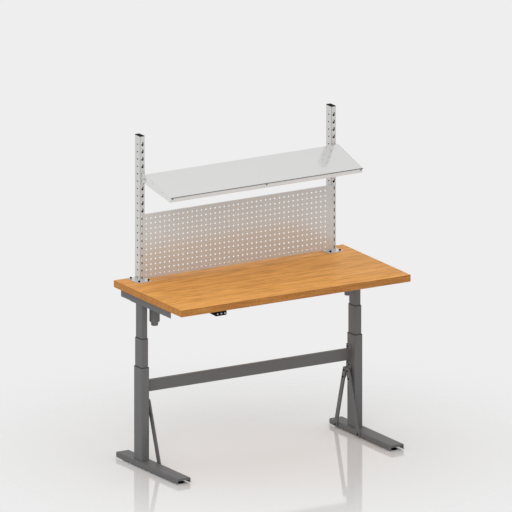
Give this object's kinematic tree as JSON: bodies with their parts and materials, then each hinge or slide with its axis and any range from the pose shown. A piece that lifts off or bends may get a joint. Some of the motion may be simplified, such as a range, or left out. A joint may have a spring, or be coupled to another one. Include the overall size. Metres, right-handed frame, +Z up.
{
  "type": "height-adjustable workbench",
  "caption": "Electric height-adjustable workbench: wooden top on two telescopic legs with T feet and a crossbar, perforated back panel and a tilting shelf on slotted uprights.",
  "frame": {"origin": "on the floor under the middle of the worktop", "axes": "+X to the right, +Y to the back, where the uprights stand, +Z up"},
  "size_m": [1.5, 0.75, 1.885],
  "materials": {
    "frame_grey_powder": "dark grey powder coat",
    "light_grey_powder": "light grey powder coat, semi-gloss",
    "shelf_grey_powder": "pale grey powder coat, glossy",
    "zinc_plate": "bright zinc plate",
    "black_plastic": "moulded black plastic",
    "black_steel": "blackened steel fasteners",
    "oiled_wood": "edge-glued staves, oiled",
    "button_grey": "light grey plastic",
    "board_green": "circuit board"
  },
  "bodies": {
    "base": {"left_foot": "frame_grey_powder", "right_foot": "frame_grey_powder", "foot_glide_nuts": "zinc_plate", "column_base_plates": "frame_grey_powder", "foot_bolts": "zinc_plate", "left_outer_tube": "frame_grey_powder", "right_outer_tube": "frame_grey_powder", "outer_tube_liners": "black_plastic", "nut_posts": "zinc_plate", "crossbar": "frame_grey_powder", "crossbar_bolts": "black_steel", "brace_gussets": "frame_grey_powder", "front_braces": "frame_grey_powder", "back_braces": "frame_grey_powder", "brace_bolts": "black_steel"},
    "left_middle_stage": {"left_middle_tube": "frame_grey_powder", "left_middle_sliders": "black_plastic", "left_screw_carrier": "zinc_plate"},
    "right_middle_stage": {"right_middle_tube": "frame_grey_powder", "right_middle_sliders": "black_plastic", "right_screw_carrier": "zinc_plate"},
    "left_lower_screw": {"left_hollow_screw": "zinc_plate"},
    "right_lower_screw": {"right_hollow_screw": "zinc_plate"},
    "left_upper_spindle": {"left_spindle": "zinc_plate"},
    "right_upper_spindle": {"right_spindle": "zinc_plate"},
    "top": {"left_inner_tube": "frame_grey_powder", "right_inner_tube": "frame_grey_powder", "inner_tube_sliders": "black_plastic", "left_top_rail": "frame_grey_powder", "right_top_rail": "frame_grey_powder", "left_gearbox": "frame_grey_powder", "right_gearbox": "frame_grey_powder", "gearbox_bolts": "zinc_plate", "left_motor": "frame_grey_powder", "right_motor": "frame_grey_powder", "motor_caps": "frame_grey_powder", "worktop": "oiled_wood", "worktop_screws": "zinc_plate", "control_box": "black_plastic", "handset_case": "black_plastic", "handset_board": "board_green", "left_upright": "light_grey_powder", "right_upright": "light_grey_powder", "upright_caps": "black_plastic", "upright_base_plates": "light_grey_powder", "base_plate_bolts": "black_steel", "perforated_panel": "light_grey_powder", "panel_screws": "light_grey_powder", "shelf_brackets": "light_grey_powder"},
    "shelf": {"shelf_tray": "shelf_grey_powder", "shelf_arms": "shelf_grey_powder", "shelf_bolts": "zinc_plate", "shelf_stop_rod": "frame_grey_powder"},
    "up_key": {"up_button": "button_grey"},
    "down_key": {"down_button": "button_grey"},
    "memory_key": {"memory_button": "button_grey"},
    "front_left_foot_glide": {"front_left_glide": "black_plastic"},
    "back_left_foot_glide": {"back_left_glide": "black_plastic"},
    "front_right_foot_glide": {"front_right_glide": "black_plastic"},
    "back_right_foot_glide": {"back_right_glide": "black_plastic"}
  },
  "joints": [
    {"name": "lift", "type": "slide", "parent": "base", "child": "top", "axis": [0, 0, 1], "range_m": [-0.3, 0.25]},
    {"name": "left_middle_slide", "type": "slide", "parent": "base", "child": "left_middle_stage", "axis": [0, 0, 1], "range_m": [-0.15, 0.125]},
    {"name": "left_screw_spin", "type": "hinge", "parent": "left_middle_stage", "child": "left_lower_screw", "pos_m": [-0.697, 0.155, 0.5], "axis": [0, 0, 1], "range_deg": [-9001, 7501]},
    {"name": "left_spindle_spin", "type": "hinge", "parent": "top", "child": "left_upper_spindle", "pos_m": [-0.697, 0.155, 0.9], "axis": [0, 0, 1], "range_deg": [-9001, 7501]},
    {"name": "right_middle_slide", "type": "slide", "parent": "base", "child": "right_middle_stage", "axis": [0, 0, 1], "range_m": [-0.15, 0.125]},
    {"name": "right_screw_spin", "type": "hinge", "parent": "right_middle_stage", "child": "right_lower_screw", "pos_m": [0.697, 0.155, 0.5], "axis": [0, 0, 1], "range_deg": [-9001, 7501]},
    {"name": "right_spindle_spin", "type": "hinge", "parent": "top", "child": "right_upper_spindle", "pos_m": [0.697, 0.155, 0.9], "axis": [0, 0, 1], "range_deg": [-9001, 7501]},
    {"name": "shelf_tilt", "type": "hinge", "parent": "top", "child": "shelf", "pos_m": [0, 0.24, 1.6403], "axis": [1, 0, 0], "range_deg": [-15.8, 14.2]},
    {"name": "up_press", "type": "slide", "parent": "top", "child": "up_key", "axis": [0, 1, 0], "range_m": [0, 0.0015], "stiffness_N_per_m": 400, "springref_m": -0.001},
    {"name": "down_press", "type": "slide", "parent": "top", "child": "down_key", "axis": [0, 1, 0], "range_m": [0, 0.0015], "stiffness_N_per_m": 400, "springref_m": -0.001},
    {"name": "memory_press", "type": "slide", "parent": "top", "child": "memory_key", "axis": [0, 1, 0], "range_m": [0, 0.0015], "stiffness_N_per_m": 400, "springref_m": -0.001},
    {"name": "front_left_levelling", "type": "slide", "parent": "base", "child": "front_left_foot_glide", "axis": [0, 0, -1], "range_m": [0, 0.01]},
    {"name": "back_left_levelling", "type": "slide", "parent": "base", "child": "back_left_foot_glide", "axis": [0, 0, -1], "range_m": [0, 0.01]},
    {"name": "front_right_levelling", "type": "slide", "parent": "base", "child": "front_right_foot_glide", "axis": [0, 0, -1], "range_m": [0, 0.01]},
    {"name": "back_right_levelling", "type": "slide", "parent": "base", "child": "back_right_foot_glide", "axis": [0, 0, -1], "range_m": [0, 0.01]}
  ],
  "couplings": [
    {"joint": "left_middle_slide", "follows": "lift", "ratio": 0.5},
    {"joint": "left_screw_spin", "follows": "lift", "rad_per_m": 523.6},
    {"joint": "left_spindle_spin", "follows": "lift", "rad_per_m": 523.6},
    {"joint": "right_middle_slide", "follows": "lift", "ratio": 0.5},
    {"joint": "right_screw_spin", "follows": "lift", "rad_per_m": 523.6},
    {"joint": "right_spindle_spin", "follows": "lift", "rad_per_m": 523.6}
  ]
}
